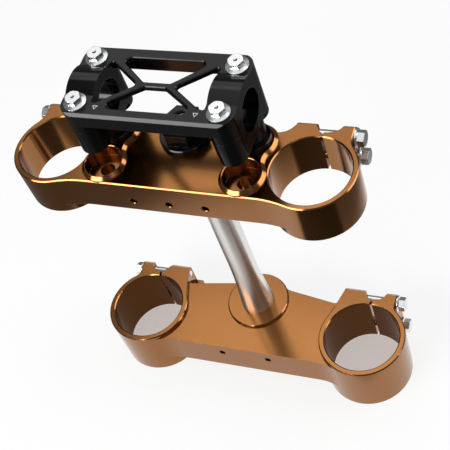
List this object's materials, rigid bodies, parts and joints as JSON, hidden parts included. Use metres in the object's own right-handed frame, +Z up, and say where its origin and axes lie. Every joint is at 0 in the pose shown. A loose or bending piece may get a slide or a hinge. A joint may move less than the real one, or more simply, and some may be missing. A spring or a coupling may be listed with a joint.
{
  "type": "motorcycle triple clamp",
  "caption": "Upper and lower fork yokes on a hollow steering stem, with a trussed handlebar clamp bridge on two round-footed mounts.",
  "frame": {"origin": "on the steering axis, level with the bottoms of the lower fork rings", "axes": "+Z up along the stem, -Y ahead, +X towards the fork on the right in a view from the front"},
  "size_m": [0.2574, 0.0808, 0.3288],
  "materials": {
    "bronze_anodised_aluminium": "machined and bronze anodised",
    "black_anodised_aluminium": "machined and black anodised",
    "polished_steel": "turned and polished",
    "zinc_plated_steel": "bright zinc plated"
  },
  "bodies": {
    "root": {"lower_clamp": "bronze_anodised_aluminium", "upper_clamp": "bronze_anodised_aluminium", "stem_nut": "black_anodised_aluminium", "bar_clamp_bridge": "black_anodised_aluminium", "bar_mount_left": "black_anodised_aluminium", "bar_mount_right": "black_anodised_aluminium", "steering_stem": "polished_steel", "upper_pinch_bolt_left_high": "zinc_plated_steel", "upper_pinch_bolt_left_low": "zinc_plated_steel", "upper_pinch_bolt_right_high": "zinc_plated_steel", "upper_pinch_bolt_right_low": "zinc_plated_steel", "lower_pinch_bolt_left_high": "zinc_plated_steel", "lower_pinch_bolt_left_low": "zinc_plated_steel", "lower_pinch_bolt_right_high": "zinc_plated_steel", "lower_pinch_bolt_right_low": "zinc_plated_steel", "bridge_bolt_front_left": "zinc_plated_steel", "bridge_bolt_front_right": "zinc_plated_steel", "bridge_bolt_rear_left": "zinc_plated_steel", "bridge_bolt_rear_right": "zinc_plated_steel", "mount_bolt_left": "zinc_plated_steel", "mount_washer_left": "zinc_plated_steel", "mount_bolt_right": "zinc_plated_steel", "mount_washer_right": "zinc_plated_steel"}
  },
  "joints": []
}
